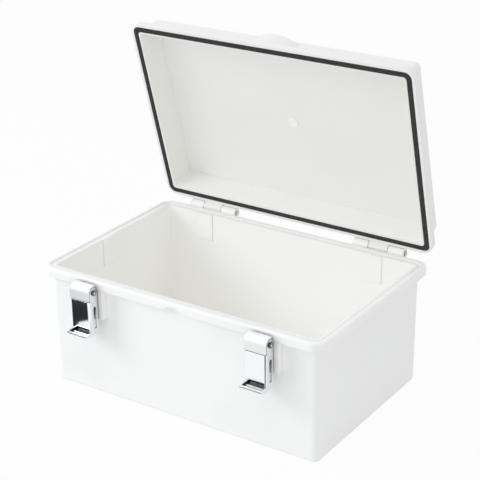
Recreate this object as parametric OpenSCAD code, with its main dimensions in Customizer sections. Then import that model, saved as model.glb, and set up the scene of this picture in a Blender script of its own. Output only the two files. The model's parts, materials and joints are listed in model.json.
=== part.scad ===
// Hinged plastic enclosure with a domed lid, a foam seal and two spring-hasp latches.
// Frame: +Z up, origin at the middle of the underside of the base, front towards -Y, millimetres.

/* [Overall size] */
// Width over the rim, left to right
box_w = 290; // [240:5:340]
// Depth over the rim, front to back
box_d = 190; // [150:5:230]
// Height of the base from its underside to the parting plane
base_h = 113.6; // [90:0.2:150]
// Height of the lid above the parting plane
lid_h = 28.2; // [24:0.2:40]
// Angle at which the lid stands open
lid_open = 74.2; // [0:0.1:100]

/* [Base] */
// Height of the band round the mouth of the base
rim_h = 8.8; // [7:0.2:12]
// Corner radius of the rim, seen from above
rim_r = 13; // [13:0.5:20]
// How far the rim stands out over the wall below it
rim_out = 7.2; // [6.6:0.1:7.6]
// How much further in the wall is at the floor than under the rim
wall_draft = 0.5; // [0.3:0.1:1]
// Thickness of the walls
wall_t = 2.8; // [2.4:0.1:3.2]
// Thickness of the floor
floor_t = 3; // [2:0.1:5]
// Rounding of the outside bottom edge
foot_r = 2; // [1:0.1:2.4]
// Rounding of the rim's lower edge and of the lid's flange
rim_edge = 1; // [0.4:0.1:1.5]
// Rounding of the rim's upper edge
rim_round = 2.2; // [1:0.1:2.6]
// Width of the flat land that the seal presses on
land_w = 4.6; // [4:0.1:5]
// Depth of the drip groove between the land and the inner lip
groove_d = 2.6; // [1.5:0.1:4]
// Width of the inner lip on top of the wall
lip_w = 3; // [2.4:0.1:3.4]
// How far the inner lip lies below the parting plane
lip_drop = 1; // [0.4:0.1:1.4]
// Width of the finger notch in the lower edge of the front rim
notch_w = 21; // [14:1:30]
// Height of the finger notch
notch_h = 4.5; // [2:0.5:6]

/* [Inside of the base] */
// Thickness of the stiffening pads on the inner walls
pad_t = 0.8; // [0.4:0.1:1.2]
// Width of the stiffening pads
pad_w = 18; // [12:1:30]
// Distance of the back wall's pads from the ends of the box
pad_end = 53; // [40:1:80]
// How far the pads reach down from the parting plane
pad_drop = 28; // [18:1:40]
// Spacing of the floor bosses across the width
boss_pitch_x = 230; // [180:5:240]
// Spacing of the floor bosses across the depth
boss_pitch_y = 130; // [80:5:136]
// Outside diameter of a floor boss
boss_d = 9; // [7:0.5:12]
// Height of a floor boss above the floor
boss_h = 9; // [6:0.5:14]
// Diameter of the screw hole in a floor boss
boss_hole_d = 3.4; // [2.5:0.1:5]

/* [Lid] */
// Thickness of the flange round the lid
flange_t = 6; // [5:0.1:7]
// Gap between the closed flange and the rim
lid_gap = 0.3; // [0.2:0.05:0.6]
// How far the dome is set in from the flange's edge
dome_in = 7.6; // [6.8:0.1:7.8]
// How much further in the dome is at its top than at the flange
dome_draft = 1.4; // [0.6:0.1:2]
// Rounding of the dome's top edge
dome_edge = 2.4; // [1.5:0.1:3.4]
// How far the hollow of the lid is set in from the flange's edge
hollow_in = 9.9; // [9.8:0.1:12]
// Corner radius of the lid's hollow
hollow_r = 3.5; // [3:0.5:12]
// Thickness of the lid's top
lid_top_t = 2.6; // [2:0.1:4]
// Width of the lift lug at the middle of the front
lug_w = 46; // [36:1:60]
// How far the lift lug's front lies behind the flange's edge
lug_in = 0.8; // [0.4:0.1:2]
// Height of the lift lug above the flange
lug_h = 14.6; // [8:0.2:18]
// Diameter of the round gate mark inside the lid
gate_d = 9; // [5:0.5:14]
// Height of the gate mark
gate_t = 0.5; // [0.3:0.1:1]

/* [Seal] */
// Width of the foam seal
seal_w = 5.1; // [4:0.1:5.4]
// How far the seal's groove is set in from the flange's edge
seal_in = 3.3; // [2:0.1:3.4]
// Corner radius of the seal's outer edge
seal_corner_out = 6.5; // [5:0.5:10]
// Corner radius of the seal's inner edge
seal_corner_in = 3; // [2:0.5:6]
// How far the seal's face lies inside its groove
seal_sunk = 0.2; // [0.1:0.1:1]
// Thickness of the seal
seal_t = 2.4; // [1.6:0.1:2.8]

/* [Hinges] */
// Distance of each hinge's middle from the end of the box
hinge_end = 54.4; // [45:0.2:70]
// Length of the lid's knuckle in the middle of a hinge
knuckle_l = 19.6; // [14:0.2:24]
// Length of the base's knuckles at the ends of a hinge
end_knuckle_l = 15.6; // [10:0.2:20]
// Gap between neighbouring knuckles
knuckle_gap = 0.4; // [0.3:0.1:1]
// Outside diameter of a knuckle
knuckle_d = 9; // [8:0.1:9.2]
// Diameter of the hinge pin
hinge_pin_d = 3.6; // [3:0.1:5.4]
// How far the hinge axis lies behind the rim
hinge_out = 4.9; // [4.9:0.1:6]
// How far the pin's tail stands out of its knuckle
hinge_pin_proud = 0.5; // [0.2:0.1:1]
// Diameter of the pin's head
hinge_head_d = 4.8; // [4:0.1:8]
// Thickness of the pin's head
hinge_head_t = 0.8; // [0.5:0.1:2]

/* [Latches] */
// Distance of each latch's middle from the end of the box
latch_end = 54.8; // [40:0.2:70]
// Width of the latch
latch_w = 21; // [19:0.5:26]
// Thickness of the latch's sheet steel
sheet_t = 1.2; // [1:0.1:1.4]
// How far the lever's pivot lies in front of the rim
pivot_out = 5.4; // [5.4:0.1:7]
// How far the lever's pivot lies below the parting plane
pivot_drop = 8.6; // [8:0.1:10]
// Diameter of the lever's pivot
pivot_d = 3.2; // [2.4:0.1:3.6]
// Radius of the lever's ears round the pivot
ear_r = 5; // [4:0.1:5]
// Distance from the pivot to the lever's lower end
lever_l = 40.2; // [38:0.2:48]
// How far the lever's face lies in front of the pivot
face_out = 6.5; // [6.3:0.1:8]
// Distance from the pivot down to the top edge of the lever's face
face_top = 7.1; // [6.8:0.1:7.4]
// Outside radius of the curled finger lip
curl_r = 4.1; // [3:0.1:4.6]
// Width of the long slot in each cheek of the lever
slot_w = 3.6; // [2:0.1:4]
// Length of the long slot in each cheek of the lever
slot_l = 21; // [8:0.5:22]
// Distance from the pivot down to the hook's pin
hook_pin_drop = 11.1; // [10.6:0.1:11.4]
// Distance of the hook's pin in front of the pivot
hook_pin_fwd = 1.1; // [0.6:0.1:1.4]
// Diameter of the hook's pin
hook_pin_d = 3; // [2:0.1:3]
// Height of the hook's top above the pivot
hook_top = 6.8; // [6.6:0.1:7.4]
// How far the hook's tip reaches behind the pivot
hook_back = 2.4; // [1.6:0.1:2.6]
// Bend radius of the hook's shoulder, on the outside
hook_bend = 6; // [4:0.1:6.2]
// Diameter of the rivets that hold a latch to the wall
rivet_d = 3.2; // [2.4:0.1:4]

/* [Fits] */
// Radial running clearance of pins and rivets in their holes
run_fit = 0.05; // [0.02:0.01:0.1]
// Side clearance between sheet parts that move past each other
side_fit = 0.3; // [0.2:0.05:0.6]

/* [Hidden] */
$fn = 64;
cut = 1;
arc_steps = 4;

abs_white = "WhiteSmoke";
steel = "Silver";
pin_steel = "LightSteelBlue";
foam_black = [0.18, 0.18, 0.17];

// Half distances between the corner axes of the rim
axis_x = box_w / 2 - rim_r;
axis_y = box_d / 2 - rim_r;
rim_low = base_h - rim_h;
wall_r_top = rim_r - rim_out;
wall_r_low = wall_r_top - wall_draft;
inner_r_top = wall_r_top - wall_t;
inner_r_low = wall_r_low - wall_t;
inner_fillet = 1.6;
land_r = rim_r - land_w;
inner_lip_r = inner_r_top + lip_w;
lip_top = base_h - lip_drop;
pad_x = box_w / 2 - pad_end;

// The lid's own rounded outlines, as corner axis insets and radii
hollow_axis_x = box_w / 2 - hollow_in - hollow_r;
hollow_axis_y = box_d / 2 - hollow_in - hollow_r;
hollow_draft = 2.8;
dome_r_low = rim_r - dome_in;
dome_r_top = dome_r_low - dome_draft;

hinge_x = box_w / 2 - hinge_end;
hinge_y = box_d / 2 + hinge_out;
hinge_z = base_h;
knuckle_r = knuckle_d / 2;
hinge_l = knuckle_l + 2 * end_knuckle_l + 2 * knuckle_gap;
arm_gap = 0.15;
arm_sink = 2;

latch_x = box_w / 2 - latch_end;
pivot_y = -box_d / 2 - pivot_out;
pivot_z = base_h - pivot_drop;
seat_in = 0.6;
seat_y = -box_d / 2 + seat_in;
seat_margin = 3.5;
seat_w = latch_w + 2 * seat_margin;
seat_foot = 1;
bracket_drop = 27;
seat_low = pivot_z - bracket_drop - seat_foot;
bracket_rim_gap = 1;
bracket_back = seat_y - pivot_y;
bracket_top = pivot_drop - rim_h - bracket_rim_gap;
bracket_w = latch_w - 2 * sheet_t - 2 * side_fit;
bracket_ear_out = 3.4;
bracket_horn_r = 4.2;
bracket_horn_angle = 50;
hook_tongue_w = bracket_w - 2 * sheet_t - 4 * side_fit;
hook_eye_r = 2.9;
channel_r = 2;
slot_back = 0.6;
slot_web = 0.6;
rivet_drops = [9, 20];
rivet_head_d = 6;
rivet_head_t = 1.2;
pivot_head_d = 4.6;
pivot_head_t = 1;

// Points along a circular arc from angle a0 to a1 round centre c
function arc(c, r, a0, a1) = [
  for (i = [0 : arc_steps]) let (a = a0 + (a1 - a0) * i / arc_steps) [c[0] + r * cos(a), c[1] + r * sin(a)]
];

// Solid with four rounded corners: profile gives [distance from the corner axis, height] from bottom to top
module rounded_body(hx, hy, profile) {
  low = profile[0][1];
  high = profile[len(profile) - 1][1];
  section = concat([[0, low]], profile, [[0, high]]);
  for (sx = [0, 1], sy = [0, 1])
    mirror([sx, 0, 0])
      mirror([0, sy, 0])
        translate([hx, hy, 0])
          rotate_extrude(angle = 90)
            polygon(section);
  for (s = [0, 1])
    mirror([s, 0, 0])
      translate([hx, hy, 0])
        rotate([90, 0, 0])
          linear_extrude(2 * hy)
            polygon(section);
  for (s = [0, 1])
    mirror([0, s, 0])
      translate([-hx, hy, 0])
        rotate([90, 0, 90])
          linear_extrude(2 * hx)
            polygon(section);
  translate([-hx, -hy, low])
    cube([2 * hx, 2 * hy, high - low]);
}

// Extrudes a drawing made in [y, z] across the width w, centred on x = 0
module across(w) {
  rotate([90, 0, 90])
    linear_extrude(w, center = true)
      children();
}

// Cylinder along x, centred on x = 0 at the place [y, z]
module rod(d, l, at) {
  translate([0, at[0], at[1]])
    rotate([0, 90, 0])
      cylinder(d = d, h = l, center = true);
}

// Places children at the lid's open angle
module opened() {
  translate([0, hinge_y, hinge_z])
    rotate([-lid_open, 0, 0])
      translate([0, -hinge_y, -hinge_z])
        children();
}

// Places children, drawn round the pivot, at the latch on side s
module at_latch(s) {
  translate([s * latch_x, pivot_y, pivot_z])
    children();
}

// Base: drafted walls, overhanging rim, drip groove, hinge knuckles and latch seats

base_profile = concat(
  arc([wall_r_low - foot_r, foot_r], foot_r, -90, 0),
  [[wall_r_top, rim_low]],
  arc([rim_r - rim_edge, rim_low + rim_edge], rim_edge, -90, 0),
  arc([rim_r - rim_round, base_h - rim_round], rim_round, 0, 90),
  [[land_r, base_h], [land_r, base_h - groove_d], [inner_lip_r, base_h - groove_d]],
  [[inner_lip_r, lip_top], [inner_r_top, lip_top]]
);

cavity_profile = concat(
  arc([inner_r_low - inner_fillet, floor_t + inner_fillet], inner_fillet, -90, 0),
  [[inner_r_top, base_h + cut]]
);

// Half width of the wall's inner face at height z, measured from the rim's outside
function inner_inset(z) = rim_out + wall_t + wall_draft * (base_h - z) / base_h;

module wall_pad(x0, y0, w, d) {
  translate([x0, y0, base_h - pad_drop])
    cube([w, d, pad_drop - lip_drop]);
}

module wall_pads() {
  reach = inner_inset(base_h - pad_drop) + pad_t;
  intersection() {
    rounded_body(axis_x, axis_y, [[wall_r_low, floor_t], [wall_r_top - wall_t / 2, lip_top]]);
    union() {
      for (s = [-1, 1])
        wall_pad(s * pad_x - pad_w / 2, box_d / 2 - reach, pad_w, reach);
      for (s = [0, 1])
        mirror([s, 0, 0])
          wall_pad(-box_w / 2, -pad_w, reach, pad_w);
    }
  }
}

module floor_bosses() {
  for (sx = [-1, 1], sy = [-1, 1])
    translate([sx * boss_pitch_x / 2, sy * boss_pitch_y / 2, 0])
      difference() {
        cylinder(d = boss_d, h = floor_t + boss_h);
        translate([0, 0, floor_t])
          cylinder(d = boss_hole_d, h = boss_h + cut);
      }
}

// Knuckles of length l with their middles at places: each has an arm to the edge above or below the axis
module knuckles(places, l, up) {
  for (x = places)
    translate([x, 0, 0]) {
      rod(knuckle_d, l, [hinge_y, hinge_z]);
      translate([-l / 2, box_d / 2 - arm_sink, hinge_z + (up ? lid_gap : arm_gap - knuckle_r)])
        cube([l, hinge_out + arm_sink, knuckle_r - (up ? lid_gap : 2 * arm_gap)]);
    }
}

module hinge_bores() {
  for (s = [-1, 1])
    translate([s * hinge_x, 0, 0])
      rod(hinge_pin_d + 2 * run_fit, hinge_l + 2 * cut, [hinge_y, hinge_z]);
}

module front_notch() {
  r = (notch_w * notch_w / 4 + notch_h * notch_h) / (2 * notch_h);
  translate([0, -box_d / 2 + rim_out, rim_low + notch_h - r])
    rotate([90, 0, 0])
      cylinder(r = r, h = rim_out + cut);
}

// Block under the rim that carries a latch
module latch_seat(s) {
  translate([s * latch_x - seat_w / 2, seat_y, seat_low])
    cube([seat_w, rim_out, rim_low + rim_edge - seat_low]);
}

// Pocket that hollows a latch seat from the inside of the box
module seat_core(s) {
  core_w = seat_w - 2 * wall_t;
  translate([s * latch_x - core_w / 2, seat_y + wall_t, seat_low + wall_t])
    cube([core_w, rim_out + wall_draft, rim_low - seat_low - wall_t]);
}

module rivet_holes(s) {
  at_latch(s)
    for (z = rivet_drops)
      translate([0, bracket_back - sheet_t - cut, -z])
        rotate([-90, 0, 0])
          cylinder(d = rivet_d + 2 * run_fit, h = sheet_t + wall_t + 2 * cut);
}

module base_tub() {
  end_step = (knuckle_l + end_knuckle_l) / 2 + knuckle_gap;
  end_knuckles = [for (s = [-1, 1], e = [-1, 1]) s * hinge_x + e * end_step];
  color(abs_white)
    difference() {
      union() {
        difference() {
          union() {
            rounded_body(axis_x, axis_y, base_profile);
            for (s = [-1, 1])
              latch_seat(s);
          }
          rounded_body(axis_x, axis_y, cavity_profile);
        }
        wall_pads();
        floor_bosses();
        knuckles(end_knuckles, end_knuckle_l, false);
      }
      hinge_bores();
      front_notch();
      for (s = [-1, 1]) {
        seat_core(s);
        rivet_holes(s);
      }
    }
}

// Lid: flange with the seal's groove, drafted dome, lift lug and middle knuckles

lid_low = base_h + lid_gap;
lid_top = base_h + lid_h;
flange_top = lid_low + flange_t;

flange_profile = concat(
  arc([rim_r - rim_edge, lid_low + rim_edge], rim_edge, -90, 0),
  arc([rim_r - rim_edge, flange_top - rim_edge], rim_edge, 0, 90)
);

dome_profile = concat(
  [[dome_r_low, flange_top - rim_edge]],
  arc([dome_r_top - dome_edge, lid_top - dome_edge], dome_edge, 0, 90)
);

hollow_profile = [
  [hollow_r, lid_low - cut],
  [hollow_r - hollow_draft, lid_top - lid_top_t]
];

// Upright block with corner radius r, set in from the flange's edge by inset, from height z0 to z1
module inset_block(inset, r, z0, z1) {
  rounded_body(box_w / 2 - inset - r, box_d / 2 - inset - r, [[r, z0], [r, z1]]);
}

// Ring for the seal between its inner and outer outlines, from height z0 to z1, shrunk all round by fit
module seal_ring(z0, z1, fit) {
  difference() {
    inset_block(seal_in + fit, seal_corner_out - fit, z0, z1);
    inset_block(seal_in + seal_w - fit, seal_corner_in + fit, z0 - cut, z1 + cut);
  }
}

// Low bulge with an arc-shaped front that stands against the dome at the middle of the lid's front edge
module lift_lug() {
  front = -box_d / 2 + lug_in;
  deep = dome_in + dome_draft - lug_in;
  r = (lug_w * lug_w / 4 + deep * deep) / (2 * deep);
  translate([0, 0, flange_top - rim_edge])
    linear_extrude(lug_h + rim_edge)
      intersection() {
        translate([0, front + r])
          circle(r);
        translate([-lug_w / 2, front])
          square([lug_w, deep]);
      }
}

module lid_body() {
  difference() {
    union() {
      rounded_body(axis_x, axis_y, flange_profile);
      rounded_body(axis_x, axis_y, dome_profile);
      lift_lug();
      knuckles([-hinge_x, hinge_x], knuckle_l, true);
    }
    difference() {
      rounded_body(hollow_axis_x, hollow_axis_y, hollow_profile);
      translate([0, 0, lid_top - lid_top_t - gate_t])
        cylinder(d = gate_d, h = gate_t + cut);
    }
    seal_ring(lid_low - cut, lid_low + seal_sunk + seal_t, 0);
    hinge_bores();
  }
}

module lid_shell() {
  color(abs_white)
    opened()
      lid_body();
}

module lid_seal() {
  color(foam_black)
    opened()
      seal_ring(lid_low + seal_sunk, lid_low + seal_sunk + seal_t, run_fit);
}

module hinge_pin(s) {
  color(pin_steel)
    translate([s * hinge_x, hinge_y, hinge_z])
      rotate([0, 90, 0]) {
        translate([0, 0, -hinge_l / 2 - hinge_pin_proud])
          cylinder(d = hinge_pin_d, h = hinge_l + hinge_pin_proud);
        translate([0, 0, hinge_l / 2])
          cylinder(d = hinge_head_d, h = hinge_head_t);
      }
}

// Latch: every piece is drawn round the lever's pivot at [y, z] = [0, 0], front towards -y

hook_pin_at = [-hook_pin_fwd, -hook_pin_drop];
curl_at = [-face_out + sheet_t - curl_r, -lever_l + curl_r];
// The hook turns round its pin outside this radius, so it passes over the top edge of the lever's face
sweep_r = norm([face_out - hook_pin_fwd, hook_pin_drop - face_top]) + side_fit;
hook_low = hook_pin_drop - sqrt(pow(sweep_r, 2) - pow(face_out - hook_pin_fwd, 2));

module bracket_ear_outline() {
  union() {
    circle(bracket_horn_r);
    polygon([
      [-bracket_horn_r * cos(bracket_horn_angle), -bracket_horn_r * sin(bracket_horn_angle)],
      [bracket_ear_out, -hook_pin_drop + hook_eye_r],
      [bracket_ear_out, -bracket_drop],
      [bracket_back, -bracket_drop],
      [bracket_back, bracket_top],
      [bracket_horn_r, bracket_top],
      [bracket_horn_r, 0]
    ]);
  }
}

module latch_bracket(s) {
  color(steel)
    at_latch(s)
      difference() {
        union() {
          for (e = [-1, 1])
            translate([e * (bracket_w - sheet_t) / 2, 0, 0])
              across(sheet_t)
                bracket_ear_outline();
          translate([-bracket_w / 2, bracket_back - sheet_t, -bracket_drop])
            cube([bracket_w, sheet_t, bracket_drop + bracket_top]);
        }
        rod(pivot_d + 2 * run_fit, latch_w, [0, 0]);
        translate([-s * latch_x, -pivot_y, -pivot_z])
          rivet_holes(s);
      }
}

module latch_pivot(s) {
  color(steel)
    at_latch(s) {
      rod(pivot_d, latch_w + 2 * side_fit + 2 * pivot_head_t, [0, 0]);
      for (e = [-1, 1])
        translate([e * (latch_w / 2 + side_fit + pivot_head_t / 2), 0, 0])
          rod(pivot_head_d, pivot_head_t, [0, 0]);
    }
}

// Plan of the lever's channel: open at the back, rounded at the front corners
module channel_plan(w, front, r) {
  translate([-w / 2 + r, front])
    square([w - 2 * r, ear_r - front]);
  translate([-w / 2, front + r])
    square([w, ear_r - front - r]);
  for (e = [-1, 1])
    translate([e * (w / 2 - r), front + r])
      circle(r);
}

module lever_channel() {
  translate([0, 0, curl_at[1]])
    linear_extrude(-face_top - curl_at[1])
      difference() {
        channel_plan(latch_w, -face_out, channel_r);
        translate([0, cut])
          channel_plan(latch_w - 2 * sheet_t, -face_out + sheet_t - cut, channel_r - sheet_t / 2);
      }
}

module lever_ear_outline() {
  union() {
    circle(ear_r);
    polygon([
      [-ear_r, 0],
      [-ear_r, -face_top + channel_r],
      [-face_out + channel_r, -face_top - cut],
      [ear_r, -face_top - cut],
      [ear_r, 0]
    ]);
  }
}

// Cuts children, drawn in [y, z], off at the height where the lip starts to curl
module below_curl() {
  intersection() {
    children();
    translate([curl_at[0] - curl_r, -lever_l])
      square([ear_r - curl_at[0] + curl_r, curl_r]);
  }
}

// Half ring that curls forward out of the lever's face
module lever_lip() {
  across(latch_w)
    below_curl()
      translate(curl_at)
        difference() {
          circle(curl_r);
          circle(curl_r - sheet_t);
        }
}

// Lower end of a cheek: it closes the curled lip and is rounded at the back
module cheek_foot_outline() {
  below_curl()
    union() {
      translate(curl_at)
        circle(curl_r);
      translate([curl_at[0], -lever_l])
        square([ear_r - curl_r - curl_at[0], curl_r]);
      translate([ear_r - curl_r, curl_at[1]])
        circle(curl_r);
    }
}

module cheek_slot() {
  top = hook_pin_drop + hook_pin_d / 2 + slot_web;
  across(latch_w + 2 * cut)
    translate([slot_back, -top - slot_l + slot_w / 2]) {
      circle(d = slot_w);
      translate([-slot_w / 2, 0])
        square([slot_w, slot_l - slot_w]);
      translate([0, slot_l - slot_w])
        circle(d = slot_w);
    }
}

module latch_lever(s) {
  color(steel)
    at_latch(s)
      difference() {
        union() {
          lever_channel();
          lever_lip();
          for (e = [-1, 1])
            translate([e * (latch_w - sheet_t) / 2, 0, 0])
              across(sheet_t) {
                lever_ear_outline();
                cheek_foot_outline();
              }
        }
        cheek_slot();
        rod(pivot_d + 2 * run_fit, latch_w + 2 * cut, [0, 0]);
        rod(hook_pin_d + 2 * run_fit, latch_w + 2 * cut, hook_pin_at);
      }
}

// Side view of the hook's plate: swept lower edge, straight front, rounded shoulder, flat top, round tip
module hook_plate_outline() {
  front = -face_out;
  centre = [front + hook_bend, hook_top - hook_bend];
  difference() {
    translate([front, -hook_low])
      square([sheet_t, hook_low + centre[1]]);
    translate(hook_pin_at)
      circle(sweep_r);
  }
  intersection() {
    translate(centre)
      difference() {
        circle(hook_bend);
        circle(hook_bend - sheet_t);
      }
    translate([front, centre[1]])
      square([hook_bend, hook_bend]);
  }
  translate([centre[0], hook_top - sheet_t])
    square([hook_back - sheet_t / 2 - centre[0], sheet_t]);
  translate([hook_back - sheet_t / 2, hook_top - sheet_t / 2])
    circle(d = sheet_t);
}

// Side view of the tongue that joins the plate to the eye on the hook's pin
module hook_tongue_outline() {
  foot = sweep_r - hook_pin_drop;
  translate([-hook_pin_fwd - sheet_t / 2, hook_pin_at[1]])
    square([sheet_t, foot - hook_pin_at[1]]);
  translate([-face_out + sheet_t / 2, foot])
    square([face_out - hook_pin_fwd, sheet_t]);
  translate(hook_pin_at)
    circle(hook_eye_r);
}

module latch_hook(s) {
  color(steel)
    at_latch(s)
      difference() {
        union() {
          across(latch_w)
            hook_plate_outline();
          across(hook_tongue_w)
            hook_tongue_outline();
        }
        rod(hook_pin_d + 2 * run_fit, latch_w, hook_pin_at);
      }
}

module hook_pin(s) {
  color(steel)
    at_latch(s)
      rod(hook_pin_d, latch_w, hook_pin_at);
}

module latch_rivets(s) {
  grip = sheet_t + wall_t;
  color(steel)
    at_latch(s)
      for (z = rivet_drops)
        translate([0, bracket_back - sheet_t - rivet_head_t, -z])
          rotate([-90, 0, 0]) {
            cylinder(d = rivet_head_d, h = rivet_head_t);
            cylinder(d = rivet_d, h = grip + 2 * rivet_head_t);
            translate([0, 0, grip + rivet_head_t])
              cylinder(d = rivet_head_d, h = rivet_head_t);
          }
}

base_tub();
lid_shell();
lid_seal();
hinge_pin(-1);  // hinge_pin_left
hinge_pin(1);  // hinge_pin_right
latch_bracket(-1);  // latch_bracket_left
latch_bracket(1);  // latch_bracket_right
latch_pivot(-1);  // latch_pivot_left
latch_pivot(1);  // latch_pivot_right
latch_lever(-1);  // latch_lever_left
latch_lever(1);  // latch_lever_right
latch_hook(-1);  // latch_hook_left
latch_hook(1);  // latch_hook_right
hook_pin(-1);  // hook_pin_left
hook_pin(1);  // hook_pin_right
latch_rivets(-1);  // latch_rivets_left
latch_rivets(1);  // latch_rivets_right
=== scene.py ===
# %% [markdown]
# # A hinged ABS enclosure, dressed in Blender
#
# The object is a moulded plastic box for electronics: a tub with an overhanging rim, a domed
# lid on two hinges, a black foam seal in the lid, and two sheet-steel latches on the front.
# The solids come from the CAD frame. This lesson gives them their finishes, adds the small forms
# that make them read as moulded and pressed parts, and sets up the camera and the light.

# %% Load the frame
import json
import math
import bpy
import numpy as np
from mathutils import Matrix, Vector


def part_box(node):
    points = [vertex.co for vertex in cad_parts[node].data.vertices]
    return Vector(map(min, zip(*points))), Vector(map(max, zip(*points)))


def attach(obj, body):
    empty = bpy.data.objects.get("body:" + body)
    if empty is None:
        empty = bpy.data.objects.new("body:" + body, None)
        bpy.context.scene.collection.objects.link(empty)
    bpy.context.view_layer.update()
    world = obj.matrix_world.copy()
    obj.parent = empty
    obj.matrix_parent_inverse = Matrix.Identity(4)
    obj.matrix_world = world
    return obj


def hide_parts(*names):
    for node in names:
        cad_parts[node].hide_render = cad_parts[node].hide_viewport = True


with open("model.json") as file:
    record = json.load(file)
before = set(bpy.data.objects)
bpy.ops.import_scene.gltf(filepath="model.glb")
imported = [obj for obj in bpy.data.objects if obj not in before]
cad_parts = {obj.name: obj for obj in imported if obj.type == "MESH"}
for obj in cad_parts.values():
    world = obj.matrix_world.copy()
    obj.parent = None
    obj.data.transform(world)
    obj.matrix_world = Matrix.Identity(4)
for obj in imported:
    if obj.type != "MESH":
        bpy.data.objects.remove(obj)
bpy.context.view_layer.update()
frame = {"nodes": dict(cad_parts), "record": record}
MM = 0.001
scene = bpy.context.scene
print("nodes:", sorted(frame["nodes"]))

# %% [markdown]
# ## The camera
# A camera can be placed by eye, or worked out from straight edges of the photograph. Here the
# edges of the rim, the floor and the lid were fitted with a pinhole camera, so that the azimuth,
# elevation, roll, distance and focal length below put every edge within about a pixel.

# %% Camera
IMAGE_PX = 480
SENSOR_MM = 36.0
AZIMUTH, ELEVATION, ROLL = np.radians([33.87, 23.28, -0.65])
FOCAL_PX = 1441.45
EYE_IN_VIEW_MM = np.array([3.22, 125.5, 1318.4])

back = np.array([math.sin(AZIMUTH) * math.cos(ELEVATION),
                 -math.cos(AZIMUTH) * math.cos(ELEVATION), math.sin(ELEVATION)])
level = np.array([math.cos(AZIMUTH), math.sin(AZIMUTH), 0.0])
upright = np.cross(back, level)
view_x = math.cos(ROLL) * level + math.sin(ROLL) * upright
view_y = -math.sin(ROLL) * level + math.cos(ROLL) * upright
turn = np.stack([view_x, view_y, back], axis=1)
eye = turn @ EYE_IN_VIEW_MM * MM

lens = bpy.data.cameras.new("photo_camera")
lens.sensor_width = SENSOR_MM
lens.lens = FOCAL_PX * SENSOR_MM / IMAGE_PX
camera = bpy.data.objects.new("photo_camera", lens)
placed = np.eye(4)
placed[:3, :3] = turn
placed[:3, 3] = eye
camera.matrix_world = Matrix(placed.tolist())
scene.collection.objects.link(camera)
scene.camera = camera
print("camera at", np.round(eye, 4), "lens", round(lens.lens, 2), "mm")

# %% [markdown]
# ## Helpers for materials
# Colours are written as sRGB hex values, because that is how they are read off a screen, and one
# function turns them into the linear values that the shader works with. A second small function
# adds a node, sets its inputs and makes its links, so each material below reads as a short list.

# %% Colour and node helpers
def linear(hex_code):
    """sRGB hex to linear: c / 12.92 below 0.04045, else ((c + 0.055) / 1.055) to the power 2.4."""
    c = np.array([int(hex_code[i:i + 2], 16) for i in (1, 3, 5)]) / 255
    return (*np.where(c <= 0.04045, c / 12.92, ((c + 0.055) / 1.055) ** 2.4).tolist(), 1.0)


def add(tree, kind, inputs=None, links=None, **settings):
    """Adds a node of that kind: settings on the node, values on inputs, links from sockets."""
    node = tree.nodes.new(kind)
    for name, value in settings.items():
        setattr(node, name, value)
    for name, value in (inputs or {}).items():
        node.inputs[name].default_value = value
    for name, socket in (links or {}).items():
        tree.links.new(socket, node.inputs[name])
    return node


def new_material(name):
    """An empty node material, with its tree and its output node."""
    material = bpy.data.materials.new(name)
    material.use_nodes = True
    material.node_tree.nodes.clear()
    return material, material.node_tree, material.node_tree.nodes.new("ShaderNodeOutputMaterial")


print("mid grey in linear light:", round(linear("#808080")[0], 3))

# %% [markdown]
# ## Two tones, and painted shade in narrow places
# No real surface has one flat colour: it drifts between two close tones. Narrow places look
# darker, since light has to find its way in, and here that shade is painted into the colour. The
# tones are worked out from a noise and the painted shade from the surfaces nearby, so both stay
# right on every piece.

# %% Two tones and painted shade in creases
TONE_STOPS = (0.3, 0.7)
PAINTED_SHADE_SAMPLES = 8


def two_tones(tree, mask, low, high):
    """A colour that runs from one hex tone to the other between the two stops of the mask."""
    ramp = add(tree, "ShaderNodeValToRGB", links={"Fac": mask})
    for stop, place, tone in zip(ramp.color_ramp.elements, TONE_STOPS, (low, high)):
        stop.position, stop.color = place, linear(tone)
    return ramp.outputs["Color"]


# Painted shade: an ambient occlusion node darkens the colour in creases and gaps.
def painted_crease_shade(tree, colour, reach_m, shut_at, open_at, darkest):
    """Painted shade: the colour times a factor that falls where near surfaces shut out the light;
    it is 1 where the open share of the sky is open_at or more, darkest at shut_at or less."""
    sky = add(tree, "ShaderNodeAmbientOcclusion", {"Distance": reach_m}, samples=PAINTED_SHADE_SAMPLES)
    factor = add(tree, "ShaderNodeMapRange",
                 {"From Min": shut_at, "From Max": open_at, "To Min": darkest},
                 {"Value": sky.outputs["AO"]})
    return add(tree, "ShaderNodeVectorMath", links={0: colour, "Scale": factor.outputs["Result"]},
               operation="SCALE").outputs["Vector"]


print("tones run between", TONE_STOPS, "of their mask")

# %% [markdown]
# ## Moulded ABS
# The box is injection moulded in near-white ABS from a mould with a fine satin texture. The eye
# sees an almost even white, a touch warm where it reflects itself, with a soft sheen, a grain of
# about half a millimetre and very faint flow clouds. The grain is drawn at 0.8 mm, a little
# coarser than the real one, so that it still shows in a small picture. A picture of plastic could
# be wrapped round the box, but a noise has no seams and keeps its real size on every piece. Narrow
# gaps, such as those between the hinge knuckles, hold no light, so painted shade darkens the
# colour there, and a broader painted shade darkens it in deep recesses, such as the gaps beside
# the latches. A rounded normal takes the knife edge off every corner, as a mould does. The lid
# gets its own pair of tones, slightly greyer than the tub's.

# %% ABS, injection moulded, satin
FLOW_CLOUD_M, GRAIN_M, MOULDED_EDGE_M = 0.060, 0.0008, 0.0008
GRAIN_DEPTH_M, GRAIN_STRENGTH, MOULDED_EDGE_SAMPLES = 0.00006, 0.12, 6
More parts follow.
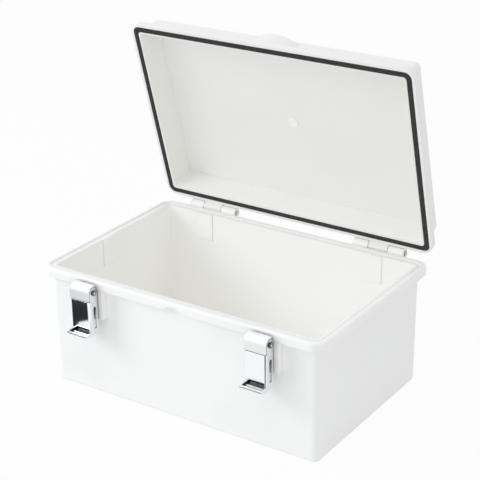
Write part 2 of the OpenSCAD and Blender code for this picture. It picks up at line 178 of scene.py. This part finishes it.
# Painted shade: the broad one darkens the colour in deep recesses up to 14 mm round, and the fine
# one draws dark lines in narrow gaps.
BROAD_PAINTED_SHADE = dict(reach_m=0.014, shut_at=0.04, open_at=0.22, darkest=0.4)
FINE_GAP_PAINTED_SHADE = dict(reach_m=0.0018, shut_at=0.02, open_at=0.15, darkest=0.2)
ABS_IOR, SATIN_LOW, SATIN_HIGH = 1.54, 0.40, 0.52


def moulded_abs(name, low, high):
    """ABS between two tones. A slow noise gives the flow clouds and moves the roughness with them,
    painted shade darkens creases and gaps, and a fine noise gives the mould's grain as bump."""
    material, tree, out = new_material(name)
    where = add(tree, "ShaderNodeTexCoord")
    flow = add(tree, "ShaderNodeTexNoise",
               {"Scale": 1 / FLOW_CLOUD_M, "Detail": 3.0, "Roughness": 0.5},
               {"Vector": where.outputs["Object"]})
    colour = painted_crease_shade(tree, two_tones(tree, flow.outputs["Fac"], low, high), **BROAD_PAINTED_SHADE)
    colour = painted_crease_shade(tree, colour, **FINE_GAP_PAINTED_SHADE)
    grain = add(tree, "ShaderNodeTexNoise", {"Scale": 1 / GRAIN_M, "Detail": 2.0},
                {"Vector": where.outputs["Object"]})
    sheen = add(tree, "ShaderNodeMapRange", {"To Min": SATIN_LOW, "To Max": SATIN_HIGH},
                {"Value": flow.outputs["Fac"]})
    soft = add(tree, "ShaderNodeBevel", {"Radius": MOULDED_EDGE_M}, samples=MOULDED_EDGE_SAMPLES)
    bump = add(tree, "ShaderNodeBump", {"Strength": GRAIN_STRENGTH, "Distance": GRAIN_DEPTH_M},
               {"Height": grain.outputs["Fac"], "Normal": soft.outputs["Normal"]})
    shader = add(tree, "ShaderNodeBsdfPrincipled", {"IOR": ABS_IOR},
                 {"Base Color": colour, "Roughness": sheen.outputs["Result"],
                  "Normal": bump.outputs["Normal"]})
    tree.links.new(shader.outputs["BSDF"], out.inputs["Surface"])
    return material


abs_white = moulded_abs("abs_injection_moulded_satin", "#fbfaf7", "#fdfcfa")
# The lid's tones are slightly greyer than the tub's.
abs_lid = moulded_abs("abs_injection_moulded_satin_lid_greyer", "#f5f4f0", "#f7f6f3")
abs_gate = moulded_abs("abs_gate_mark_cut_flush", "#fefdfa", "#fffefc")
print("made", abs_white.name + ",", abs_lid.name, "and", abs_gate.name)

# %% [markdown]
# ## Foam seal
# The seal is a strip of closed-cell rubber foam. Its cut face is nearly black and quite matt, with
# small round cells. A noise would give clouds and a Voronoi pattern gives cells, so the colour and
# the bump both come from that. The cells are drawn 0.9 mm apart, larger than real ones, so that
# they show.

# %% Closed-cell foam
CELL_M, FOAM_IOR, FOAM_ROUGHNESS = 0.0009, 1.5, 0.85
CELL_DEPTH_M, CELL_STRENGTH = 0.0002, 0.5


def closed_cell_foam():
    """Foam whose colour and height both follow the distance to the middle of the nearest cell."""
    material, tree, out = new_material("epdm_foam_closed_cell")
    where = add(tree, "ShaderNodeTexCoord")
    cells = add(tree, "ShaderNodeTexVoronoi", {"Scale": 1 / CELL_M},
                {"Vector": where.outputs["Object"]})
    colour = two_tones(tree, cells.outputs["Distance"], "#262625", "#393937")
    bump = add(tree, "ShaderNodeBump", {"Strength": CELL_STRENGTH, "Distance": CELL_DEPTH_M},
               {"Height": cells.outputs["Distance"]})
    shader = add(tree, "ShaderNodeBsdfPrincipled",
                 {"Roughness": FOAM_ROUGHNESS, "IOR": FOAM_IOR},
                 {"Base Color": colour, "Normal": bump.outputs["Normal"]})
    tree.links.new(shader.outputs["BSDF"], out.inputs["Surface"])
    return material


foam = closed_cell_foam()
print("made", foam.name)

# %% [markdown]
# ## Stainless sheet
# The latches are pressed from stainless sheet. The levers are polished: the eye sees sharp
# reflections with a slight drag along the rolling direction, so a very stretched noise varies the
# tone and the roughness and gives a faint bump. An anisotropic shader drags highlights too, but it
# needs a direction on every face, and a stretched noise needs none. The hooks keep a satin finish,
# which spreads the reflections to an even pale grey. The pivots and the hook pins are turned from
# bar, and their dark grey is a painted dark reflection round the small bright domes on them. The
# lines are drawn 0.5 mm apart, coarser than real polishing lines, so they show. Inside the narrow
# channel of a lever the real metal reflects only more metal and goes dark, and here painted shade
# darkens the steel's colour wherever near surfaces close round it.

# %% Stainless sheet, pressed and polished, or satin
SHEET_LINES_M = (0.0005, 0.0005, 0.025)
LINE_DEPTH_M, LINE_STRENGTH = 0.00002, 0.04
PRESSED_EDGE_M, PRESSED_EDGE_SAMPLES = 0.00045, 4
# Painted shade in the steel: its colour darkens where near surfaces close round it.
SHEET_PAINTED_SHADE = dict(reach_m=0.012, shut_at=0.3, open_at=0.85)


def worked_lines(tree, spacing_m):
    """A noise stretched along the working direction, with lines spacing_m apart in x, y and z."""
    where = add(tree, "ShaderNodeTexCoord")
    drag = add(tree, "ShaderNodeMapping", {"Scale": tuple(1 / gap for gap in spacing_m)},
               {"Vector": where.outputs["Object"]})
    return add(tree, "ShaderNodeTexNoise", {"Scale": 1.0, "Detail": 3.0},
               {"Vector": drag.outputs["Vector"]}).outputs["Fac"]


def stainless_sheet(name, low, high, smoothest, roughest, darkest):
    """Steel whose tone, roughness and bump follow the lines, with painted shade in creases down
    to darkest.
    """
    material, tree, out = new_material(name)
    lines = worked_lines(tree, SHEET_LINES_M)
    haze = add(tree, "ShaderNodeMapRange", {"To Min": smoothest, "To Max": roughest},
               {"Value": lines})
    colour = painted_crease_shade(tree, two_tones(tree, lines, low, high), darkest=darkest, **SHEET_PAINTED_SHADE)
    soft = add(tree, "ShaderNodeBevel", {"Radius": PRESSED_EDGE_M}, samples=PRESSED_EDGE_SAMPLES)
    bump = add(tree, "ShaderNodeBump", {"Strength": LINE_STRENGTH, "Distance": LINE_DEPTH_M},
               {"Height": lines, "Normal": soft.outputs["Normal"]})
    shader = add(tree, "ShaderNodeBsdfPrincipled", {"Metallic": 1.0},
                 {"Base Color": colour, "Roughness": haze.outputs["Result"],
                  "Normal": bump.outputs["Normal"]})
    tree.links.new(shader.outputs["BSDF"], out.inputs["Surface"])
    return material


polished = stainless_sheet("stainless_sheet_polished", "#f4f7f9", "#f7fafc",
                           smoothest=0.03, roughest=0.08, darkest=0.05)
satin = stainless_sheet("stainless_sheet_satin", "#f3f6f6", "#f6f9f9",
                        smoothest=0.62, roughest=0.72, darkest=0.55)
# Painted dark reflection: the pivots and hook pins are dark grey round their small bright domes.
rivet_steel_painted_dark = stainless_sheet("stainless_rivet_painted_dark_reflection", "#7e8184", "#8a8d90",
                              smoothest=0.12, roughest=0.22, darkest=0.05)
print("made", polished.name + ",", satin.name, "and", rivet_steel_painted_dark.name)

# %% [markdown]
# ## Drawn steel wire
# The hinge pins are cut from drawn steel wire. Drawing leaves fine lines along the wire and a
# bright, slightly grey metal. One plain grey would look cast, so the tone and the roughness follow
# a noise that is stretched along the pin. Its lines are 0.4 mm apart, coarser than real ones, so
# that they show.

# %% Steel wire, drawn bright
WIRE_LINES_M = (0.012, 0.0004, 0.0004)
# Painted shade: the pin's colour darkens where the knuckles close round it.
WIRE_PAINTED_SHADE = dict(reach_m=0.003, shut_at=0.3, open_at=0.8, darkest=0.05)
WIRE_SMOOTHEST, WIRE_ROUGHEST = 0.10, 0.22


def drawn_wire():
    """Steel whose tone and roughness follow lines along x, the way that the wire was drawn."""
    material, tree, out = new_material("steel_wire_drawn_bright")
    lines = worked_lines(tree, WIRE_LINES_M)
    gloss = add(tree, "ShaderNodeMapRange", {"To Min": WIRE_SMOOTHEST, "To Max": WIRE_ROUGHEST},
                {"Value": lines})
    colour = painted_crease_shade(tree, two_tones(tree, lines, "#b9babb", "#cfd0d1"), **WIRE_PAINTED_SHADE)
    shader = add(tree, "ShaderNodeBsdfPrincipled", {"Metallic": 1.0},
                 {"Base Color": colour, "Roughness": gloss.outputs["Result"]})
    tree.links.new(shader.outputs["BSDF"], out.inputs["Surface"])
    return material


bright_pin = drawn_wire()
print("made", bright_pin.name)

# %% [markdown]
# ## Dress the CAD nodes
# The CAD solids stay as they are, and only their finish changes. It could be set node by node, but
# the record says which material slot each node has, so one table from slot to finish dresses them
# all. The lid, the lever pivots and the hook pins get the variants that were made for them.

# %% Give every CAD node its finish
FINISH = {"abs": abs_white, "seal_foam": foam, "latch_steel": polished, "hook_steel": satin,
          "pin_steel": bright_pin}
# The lever pivots and the hook pins take the steel painted dark.
VARIANT = {"lid_shell": abs_lid, "latch_pivot_left": rivet_steel_painted_dark, "latch_pivot_right": rivet_steel_painted_dark,
           "hook_pin_left": rivet_steel_painted_dark, "hook_pin_right": rivet_steel_painted_dark}
for row in frame["record"]["subparts"]:
    node = frame["nodes"][row["node"]]
    node.data.materials.clear()
    node.data.materials.append(VARIANT.get(row["node"], FINISH[row["material_slot"]]))

# %% [markdown]
# ## One skin for all new pieces
# Every piece below is a grid of rings: point j of ring i. A dome closes on a point at each end, and
# a strip that runs round the box closes on itself. One function can sew both kinds, so a piece is
# described only by the formula for its points.

# %% Sew a grid of rings
def skin(name, grid, body, material, poles=None):
    """A closed mesh over grid[ring, point]: each ring meets itself. With poles, the end rings close
    on those two points; without, the last ring meets the first. The faces are turned round if the
    signed volume, a sixth of the sum of the triangles' triple products, is negative."""
    rings, around = grid.shape[:2]
    i = np.arange(rings if poles is None else rings - 1)[:, None] * around
    after = (i + around) % (rings * around)
    j = np.arange(around)
    k = np.roll(j, -1)
    points = grid.reshape(-1, 3)
    faces = np.stack([i + j, i + k, after + k, after + j], axis=-1).reshape(-1, 4).tolist()
    if poles is not None:
        points = np.concatenate([points, poles])
        first, last, tail = rings * around, rings * around + 1, (rings - 1) * around
        faces += np.stack([np.full(around, first), k, j], axis=-1).tolist()
        faces += np.stack([np.full(around, last), tail + j, tail + k], axis=-1).tolist()
    mesh = bpy.data.meshes.new(name)
    mesh.from_pydata((points * MM).tolist(), [], faces)
    mesh.calc_loop_triangles()
    triangles = np.empty(3 * len(mesh.loop_triangles), dtype=np.int32)
    mesh.loop_triangles.foreach_get("vertices", triangles)
    corner = points[triangles.reshape(-1, 3)]
    if np.einsum("ij,ij->i", corner[:, 0], np.cross(corner[:, 1], corner[:, 2])).sum() < 0:
        mesh.flip_normals()
    mesh.shade_smooth()
    mesh.materials.append(material)
    piece = bpy.data.objects.new(name, mesh)
    scene.collection.objects.link(piece)
    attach(piece, body)
    print(name + ":", len(mesh.polygons), "faces, on", body)
    return piece


# %% [markdown]
# ## The lid's own coordinates
# The lid stands open, so its pieces are easier to draw where they would be with the lid closed, and
# then turned round the hinge with it. The hinge's place and the angle are those of the joint.

# %% Turn from closed to open
JOINTS = {row["name"]: row for row in frame["record"]["behaviour"]["joints"]}


def joint_mm(name):
    """The place of a joint of the record, in mm."""
    return np.array(JOINTS[name]["pos_m"]) / MM


HINGE_MM = joint_mm("lid_hinge")
LID_TURN = math.radians(JOINTS["lid_hinge"]["range_deg"][0])
LID_TURN_MATRIX = np.array([[1, 0, 0],
                            [0, math.cos(LID_TURN), -math.sin(LID_TURN)],
                            [0, math.sin(LID_TURN), math.cos(LID_TURN)]])


def opened(points):
    """Turns points of the closed lid round the hinge's axis to where they stand at rest."""
    return (points - HINGE_MM) @ LID_TURN_MATRIX.T + HINGE_MM


print("lid stands", round(-math.degrees(LID_TURN), 1), "degrees open")

# %% [markdown]
# ## Strips that run round the box
# The seal and the fillet in the rim's groove are both strips that follow a rounded rectangle. A
# section could be swept along one curve, but then the corner radius of only one edge is right. So
# there is one outline for the strip's outer edge and one for its inner edge, with the same number
# of points, and the strip is all that lies between the two.

# %% Rounded outlines and strips
# A flat back needs fewer points than the face, so it takes every fourth one.
BACK_STEP = 4


def rounded_outline(half_x, half_y, radius, corner_points=14, side_points=30):
    """A rounded rectangle, anticlockwise: on each corner an arc round the point one radius inside
    it, and then even steps to the next arc."""
    quarter = np.linspace(0, 90, corner_points)[None, :]
    angle = np.radians(quarter + np.array([[0], [90], [180], [270]]))
    sign = np.array([[1, 1], [-1, 1], [-1, -1], [1, -1]])
    centre = sign * (np.array([half_x, half_y]) - radius)
    arc = centre[:, None, :] + radius * np.stack([np.cos(angle), np.sin(angle)], axis=-1)
    step = np.linspace(0, 1, side_points + 2)[1:-1][None, :, None]
    side = arc[:, -1:, :] * (1 - step) + np.roll(arc, -1, axis=0)[:, :1, :] * step
    return np.concatenate([arc, side], axis=1).reshape(-1, 2)


def strip(outer_mm, inner_mm, across, face_mm, back_mm):
    """Rings of a strip: point k of a ring lies the share across[k] of the way from the outer
    outline to the inner one, at the height face_mm[k]. A flat back at back_mm closes the ring."""
    behind = across[::-BACK_STEP]
    share = np.concatenate([across, behind])
    height = np.concatenate([face_mm, np.full(len(behind), back_mm)])
    outer, inner = rounded_outline(**outer_mm), rounded_outline(**inner_mm)
    flat = outer[:, None, :] * (1 - share[None, :, None]) + inner[:, None, :] * share[None, :, None]
    tall = np.broadcast_to(height[None, :, None], flat.shape[:2] + (1,))
    return np.concatenate([flat, tall], axis=-1)


print("an outline has", len(rounded_outline(1, 1, 0.1)), "points")

# %% [markdown]
# ## The foam strip
# A real seal is a strip of foam pressed into a groove. It is soft, so its free face bulges a little
# between its two edges. It could be a cloth simulation, but a strip this narrow shows only its
# crown, so a formula is enough: flat in the middle and falling quickly at the edges.

# %% Seal strip
SEAL_OUTER_MM = dict(half_x=141.65, half_y=91.65, radius=6.45)
SEAL_INNER_MM = dict(half_x=136.65, half_y=86.65, radius=3.05)
SEAL_EDGE_MM, SEAL_CROWN_MM, SEAL_BACK_MM = 114.30, 0.50, 116.45
CROWN_POWER, SEAL_POINTS = 2.6, 13

# A cosine sets the points closer together at the edges. The crown is 1 at the middle, less the
# distance from the middle raised to a power.
across = 0.5 - 0.5 * np.cos(np.linspace(0, math.pi, SEAL_POINTS))
crown = SEAL_EDGE_MM - SEAL_CROWN_MM * (1 - np.abs(2 * across - 1) ** CROWN_POWER)
seal_rings = opened(strip(SEAL_OUTER_MM, SEAL_INNER_MM, across, crown, SEAL_BACK_MM))
seal = skin("seal_strip", seal_rings, "lid", foam)
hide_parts("lid_seal")

# %% [markdown]
# ## The fillet in the rim's groove
# Round the rim runs a shallow groove with a rounded floor, because the steel core that forms it is
# rounded. In the CAD solid it is square and deeper than the photograph shows. A smaller depth there
# would be the best mend. Here a strip is laid in it instead, with a shallow dish for its top, lower
# on the side of the inner lip.

# %% Rim fillet
GROOVE_OUTER_MM = dict(half_x=140.5, half_y=90.5, radius=8.5)
GROOVE_INNER_MM = dict(half_x=137.9, half_y=87.9, radius=5.9)
FILLET_HIGH_MM, FILLET_FALL_MM, FILLET_DISH_MM, FILLET_FOOT_MM = 113.25, 0.90, 0.35, 110.90
FILLET_POINTS = 9

# The top falls evenly inwards, and half a sine wave is taken off it for the dish.
across = np.linspace(0, 1, FILLET_POINTS)
dish = FILLET_HIGH_MM - FILLET_FALL_MM * across - FILLET_DISH_MM * np.sin(math.pi * across)
skin("rim_groove_fillet", strip(GROOVE_OUTER_MM, GROOVE_INNER_MM, across, dish, FILLET_FOOT_MM),
     "base", abs_white)

# %% [markdown]
# ## Round heads
# A rivet's head and a pin's end are upset or ground to a low dome, which gives each a small round
# highlight. It could be a flattened ball, but a superellipse can have the flatter top of an upset
# head. A dome is that profile turned round an axis, with a short straight side that stands in the
# flat head below it. The places are read off the CAD nodes.

# %% Domes
SUNK_MM = 0.2
SPREAD_POWER, RISE_POWER = 0.8, 1.2
PIVOT_DOME_MM = dict(radius=0.9, height=0.5)
HOOK_PIN_DOME_MM = dict(radius=1.4, height=0.4)
HINGE_DOME_MM = dict(radius=2.3, height=0.9)


def dome(name, centre, axis, radius, height, body, slot, material, around=32, steps=10):
    """Turns a profile round an axis, for t from 0 at the top to a right angle at the edge: r is
    radius times sin(t) to SPREAD_POWER, and h is height times cos(t) to RISE_POWER. A flat end
    closes it SUNK_MM below."""
    t = np.linspace(0, math.pi / 2, steps + 1)[1:]
    r = np.append(radius * np.sin(t) ** SPREAD_POWER, radius)
    h = np.append(height * np.clip(np.cos(t), 0, 1) ** RISE_POWER, -SUNK_MM)
    axis = np.array(axis, float)
    side = np.roll(axis, 1)
    other = np.cross(axis, side)
    turn_by = np.linspace(0, 2 * math.pi, around, endpoint=False)
    spoke = np.cos(turn_by)[:, None] * side + np.sin(turn_by)[:, None] * other
    grid = np.array(centre) + h[:, None, None] * axis + r[:, None, None] * spoke
    poles = np.array([np.array(centre) + height * axis, np.array(centre) - SUNK_MM * axis])
    skin(name, grid, body, material, poles)


def box_mm(node):
    """Lowest and highest corner of a CAD node, in mm."""
    return [np.array(corner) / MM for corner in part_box(node)]


for side_name in ("left", "right"):
    pivot = joint_mm(f"lever_{side_name}_pivot")
    hook_pin = joint_mm(f"hook_{side_name}_pivot")
    for end, toward in ((0, -1), (1, 1)):
        tag = f"{side_name}_{'inner' if (toward > 0) == (side_name == 'left') else 'outer'}"
        head_x = box_mm(f"latch_pivot_{side_name}")[end][0]
        dome(f"pivot_dome_{tag}", [head_x, *pivot[1:]], (toward, 0, 0), **PIVOT_DOME_MM,
             body="base", slot="latch_steel", material=polished)
        pin_x = box_mm(f"hook_pin_{side_name}")[end][0]
        dome(f"hook_pin_dome_{tag}", [pin_x, *hook_pin[1:]], (toward, 0, 0), **HOOK_PIN_DOME_MM,
             body=f"lever_{side_name}", slot="latch_steel", material=polished)
    hinge_head_x = box_mm(f"hinge_pin_{side_name}")[1][0]
    dome(f"hinge_head_dome_{side_name}", [hinge_head_x, *HINGE_MM[1:]], (1, 0, 0), **HINGE_DOME_MM,
         body="base", slot="pin_steel", material=bright_pin)

# %% [markdown]
# ## Rivet tails
# Each latch is held by two rivets through the front wall, and on the inside their tails are pressed
# to a low dome. They are the same dome as before, looking into the box, below the lever's pivot.

# %% Rivet tails on the inside of the front wall
RIVET_DROPS_MM = (9.0, 20.0)
TAIL_DOME_MM = dict(radius=2.7, height=0.7)
for side_name in ("left", "right"):
    pivot = joint_mm(f"lever_{side_name}_pivot")
    tail_y = box_mm(f"latch_rivets_{side_name}")[1][1]
    for number, drop in enumerate(RIVET_DROPS_MM, start=1):
        dome(f"rivet_tail_dome_{side_name}_{number}", [pivot[0], tail_y, pivot[2] - drop],
             (0, 1, 0), **TAIL_DOME_MM, body="base", slot="latch_steel", material=polished)

# %% [markdown]
# ## The gate mark
# Where the plastic entered the mould, a small round mark is left in the middle of the lid's
# ceiling. It is cut flush and is paler than the skin round it. It could be painted on, but a real
# edge catches the light, so it is a very shallow dish on a sloping foot, turned round the middle.

# %% Gate mark
GATE_FACE_MM, CEILING_MM, BURIED_MM = 138.70, 139.20, 0.20
GATE_RADIUS_MM, GATE_FOOT_MM, GATE_PROUD_MM = 4.60, 5.10, 0.06
GATE_AROUND = 48

# The dish comes forward with the square of the radius, then the foot slopes back to the ceiling
# and goes straight into it.
share = np.array([0.3, 0.6, 0.85, 0.96, 1.0])
ring_r = np.append(GATE_RADIUS_MM * share, [GATE_FOOT_MM, GATE_FOOT_MM])
ring_z = np.append(GATE_FACE_MM - GATE_PROUD_MM * share ** 2, [CEILING_MM, CEILING_MM + BURIED_MM])
turn_by = np.linspace(0, 2 * math.pi, GATE_AROUND, endpoint=False)
gate_grid = np.stack([ring_r[:, None] * np.cos(turn_by), ring_r[:, None] * np.sin(turn_by),
                      np.broadcast_to(ring_z[:, None], (len(ring_z), len(turn_by)))], axis=-1)
gate_poles = np.array([[0, 0, GATE_FACE_MM], [0, 0, ring_z[-1]]])
skin("gate_mark", opened(gate_grid), "lid", abs_gate, opened(gate_poles))

# %% [markdown]
# ## The floor
# The photograph is a product shot on white, with hardly any shadow. The floor is plain and pale.
# For camera and mirror rays it is mostly plain white, and the rest is a real matt floor, which
# keeps the shadow. More lamps could bleach the floor too, but they would bleach the box with it.

# %% Floor
FLOOR_HALF_M = 4.0
FLOOR_WHITE_SHARE = 0.92
WHITE = (1, 1, 1, 1)


def staged(name, corners_m, material):
    """A flat card or floor through the given corners, which isn't part of the object."""
    mesh = bpy.data.meshes.new(name)
    mesh.from_pydata(np.asarray(corners_m, float).tolist(), [], [tuple(range(len(corners_m)))])
    mesh.materials.append(material)
    card = bpy.data.objects.new(name, mesh)
    scene.collection.objects.link(card)
    return card


def seen_rays(tree):
    """1 for rays from the camera, from mirrors and through glass, 0 for the rest."""
    path = add(tree, "ShaderNodeLightPath")
    first = add(tree, "ShaderNodeMath", links={0: path.outputs["Is Camera Ray"],
                                               1: path.outputs["Is Glossy Ray"]},
                operation="MAXIMUM")
    return add(tree, "ShaderNodeMath", links={0: first.outputs[0],
                                              1: path.outputs["Is Transmission Ray"]},
               operation="MAXIMUM").outputs[0]


paper, tree, out = new_material("paper_floor")
matt = add(tree, "ShaderNodeBsdfDiffuse", {"Color": linear("#f0f0f0")})
glow = add(tree, "ShaderNodeEmission", {"Color": WHITE, "Strength": 1.0})
white = add(tree, "ShaderNodeMath", {1: FLOOR_WHITE_SHARE}, {0: seen_rays(tree)},
            operation="MULTIPLY")
mixed = add(tree, "ShaderNodeMixShader", links={0: white.outputs[0], 1: matt.outputs[0],
                                                2: glow.outputs[0]})
tree.links.new(mixed.outputs[0], out.inputs["Surface"])
staged("floor", FLOOR_HALF_M * np.array([[-1, -1, 0], [1, -1, 0], [1, 1, 0], [-1, 1, 0]]), paper)
print("floor", 2 * FLOOR_HALF_M, "m wide")

# %% [markdown]
# ## Black cards
# A mirror shows whatever stands opposite it, so a photographer sets black cards just outside the
# picture to draw dark shapes in polished metal. They could be painted on the steel, but then they
# would not move as reflections do. A notched card on the floor darkens the left lever's face and
# leaves a pale leaf in it, and one to the right and one that stands beside the camera give the
# other faces their edges. Two small ones lie below the finger lips, for the dark line under each.
# Only reflections see them, so they cast no shadow.

# %% Cards
CARDS_MM = {
    "card_floor": [(-330, -264, 1), (-160, -264, 1), (-160, -238, 1), (-186, -232, 1),
                   (-193, -222, 1), (-186, -212, 1), (-160, -206, 1), (-160, -150, 1),
                   (-330, -150, 1)],
    "card_standing": [(-780, -560, 5), (-420, -800, 5), (-420, -800, 420), (-780, -560, 420)],
    "card_floor_right": [(140, -330, 1), (330, -330, 1), (330, -170, 1), (140, -170, 1)],
    "card_lip_left": [(-160, -140, 1), (-100, -140, 1), (-100, -104, 1), (-160, -104, 1)],
    "card_lip_right": [(20, -140, 1), (80, -140, 1), (80, -104, 1), (20, -104, 1)],
}
black_card, tree, out = new_material("card_black_felt")
felt = add(tree, "ShaderNodeBsdfDiffuse", {"Color": linear("#2e2e2e")})
tree.links.new(felt.outputs[0], out.inputs["Surface"])
for name, corners_mm in CARDS_MM.items():
    card = staged(name, np.array(corners_mm) * MM, black_card)
    card.visible_camera = card.visible_diffuse = False
    card.visible_shadow = card.visible_transmission = False
print("cards:", len(CARDS_MM))

# %% [markdown]
# ## A net before the lid
# The open lid takes more of the main lamp's light than the photograph shows. A weaker lamp would
# darken the tub as well, so a photographer hangs a net, called a scrim, between the lamp and the
# part that is too bright. This one stands a little way from the lid towards the lamp, shuts out a
# share of its light, and is seen by nothing but shadow rays.

# %% Scrim
KEY_M = np.array([-1.50, -1.28, 1.10])
SCRIM_TOWARD_KEY = 0.12
SCRIM_BLOCKS = 0.45
SHADED_M = np.array([[-0.27, 0.10, 0.13], [0.27, 0.10, 0.13],
                     [0.27, 0.02, 0.42], [-0.27, 0.02, 0.42]])
net, tree, out = new_material("scrim_black_net")
holes = add(tree, "ShaderNodeBsdfTransparent")
threads = add(tree, "ShaderNodeBsdfDiffuse", {"Color": linear("#000000")})
weave = add(tree, "ShaderNodeMixShader", {0: SCRIM_BLOCKS},
            {1: holes.outputs[0], 2: threads.outputs[0]})
tree.links.new(weave.outputs[0], out.inputs["Surface"])
scrim = staged("scrim", SHADED_M + SCRIM_TOWARD_KEY * (KEY_M - SHADED_M), net)
scrim.visible_camera = scrim.visible_diffuse = False
scrim.visible_glossy = scrim.visible_transmission = False
print("the scrim shuts out", SCRIM_BLOCKS, "of the key lamp")

# %% [markdown]
# ## Sky and lamps
# The light is soft and comes from all round, with a little more from the front left and from above.
# A ring of lamps could give the even part, but the world does it in one step, slightly below white,
# while the camera and the mirrors see it plain white. The inside of a white box is lit by light
# that has bounced many times, so the renderer is allowed more bounces than it starts with.

# %% World and lamps
SKY_LIGHT = linear("#e6e8ea")
AIM = (0.0, 0.0, 0.12)
DIFFUSE_BOUNCES = 10
world = bpy.data.worlds.new("studio")
world.use_nodes = True
tree = world.node_tree
tree.nodes.clear()
ramp = add(tree, "ShaderNodeValToRGB", links={"Fac": seen_rays(tree)})
ramp.color_ramp.elements[0].color, ramp.color_ramp.elements[1].color = SKY_LIGHT, WHITE
sky = add(tree, "ShaderNodeBackground", links={"Color": ramp.outputs["Color"]})
add(tree, "ShaderNodeOutputWorld", links={"Surface": sky.outputs[0]})
scene.world = world


def softbox(name, place_m, size_m, watts, tone):
    """A square area lamp at a place, turned so that its face looks at the aim."""
    data = bpy.data.lights.new(name, "AREA")
    data.size, data.energy = size_m, watts
    data.color = linear(tone)[:3]
    lamp = bpy.data.objects.new(name, data)
    lamp.rotation_mode = "QUATERNION"
    lamp.rotation_quaternion = (Vector(place_m) - Vector(AIM)).to_track_quat("Z", "Y")
    lamp.location = place_m
    scene.collection.objects.link(lamp)
    print(name + ":", watts, "W")


softbox("key_front_left", tuple(KEY_M), size_m=1.1, watts=13.5, tone="#f2f9ff")
softbox("top_fill", (0.0, -0.35, 1.60), size_m=0.9, watts=1.2, tone="#ffffff")
scene.view_settings.view_transform = "Standard"
scene.cycles.diffuse_bounces = DIFFUSE_BOUNCES
